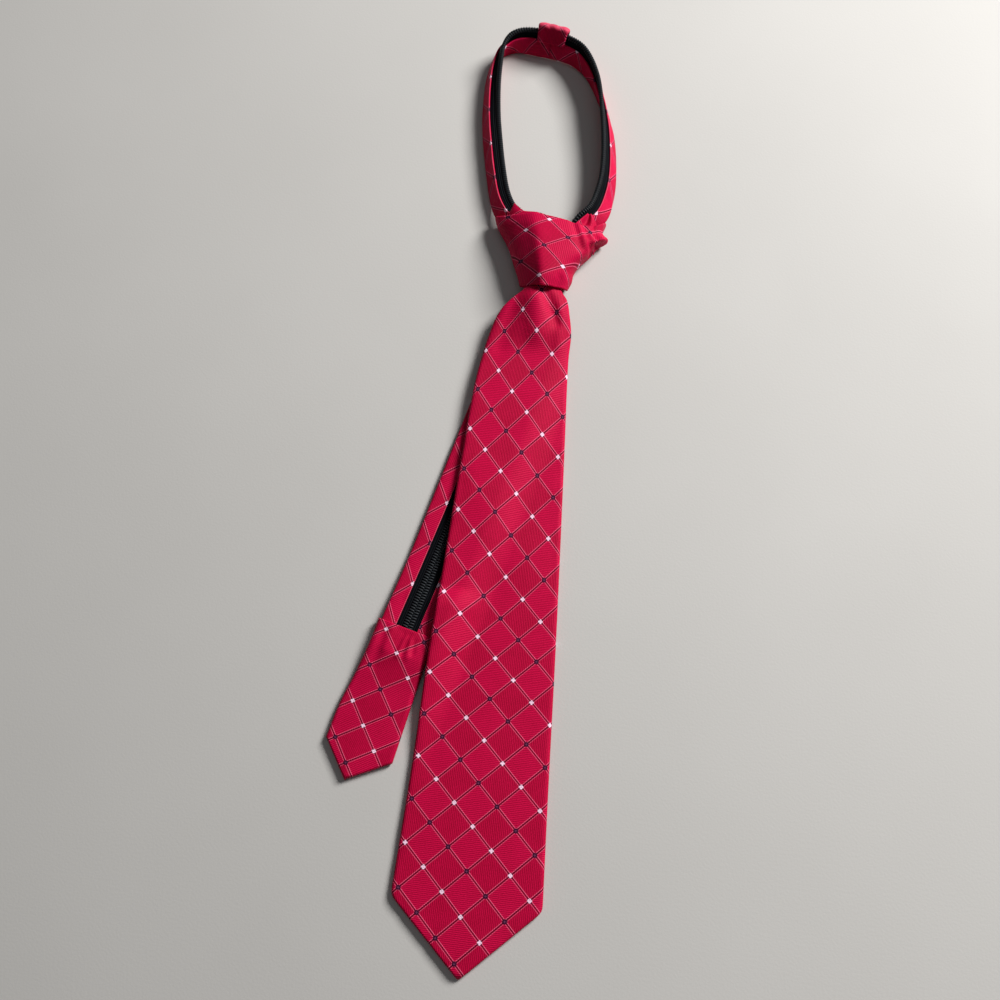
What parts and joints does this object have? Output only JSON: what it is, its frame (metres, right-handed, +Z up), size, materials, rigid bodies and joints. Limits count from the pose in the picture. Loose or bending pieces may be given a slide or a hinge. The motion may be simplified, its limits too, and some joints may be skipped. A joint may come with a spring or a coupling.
{
  "type": "zipper tie",
  "caption": "Child's pre-tied patterned cloth necktie whose neck loop and hidden tail are two sides of one zipper.",
  "frame": {"origin": "middle of the whole outline, on the surface that the tie lies on", "axes": "+Z up out of the surface, +Y from the blade's point to the back of the neck loop, +X to the right seen from the front"},
  "size_m": [0.1086, 0.4778, 0.0198],
  "materials": {
    "red_cloth": "woven polyester with a fine rib, a raised thread lattice and small woven squares where the threads cross",
    "zipper_webbing": "matte knitted tape",
    "zipper_nylon": "moulded coil, slightly shiny",
    "slider_metal": "dark painted metal, hidden in the knot"
  },
  "bodies": {
    "root": {"front_blade": "red_cloth", "knot": "red_cloth", "knot_left_fold": "red_cloth", "knot_right_fold": "red_cloth", "left_band": "red_cloth", "right_band": "red_cloth", "tail_end_cap": "red_cloth", "neck_tab": "red_cloth", "left_zipper_tape": "zipper_webbing", "right_zipper_tape": "zipper_webbing", "left_neck_coil": "zipper_nylon", "right_neck_coil": "zipper_nylon", "left_tail_coil": "zipper_nylon", "right_tail_coil": "zipper_nylon", "zipper_slider": "slider_metal"}
  },
  "joints": []
}
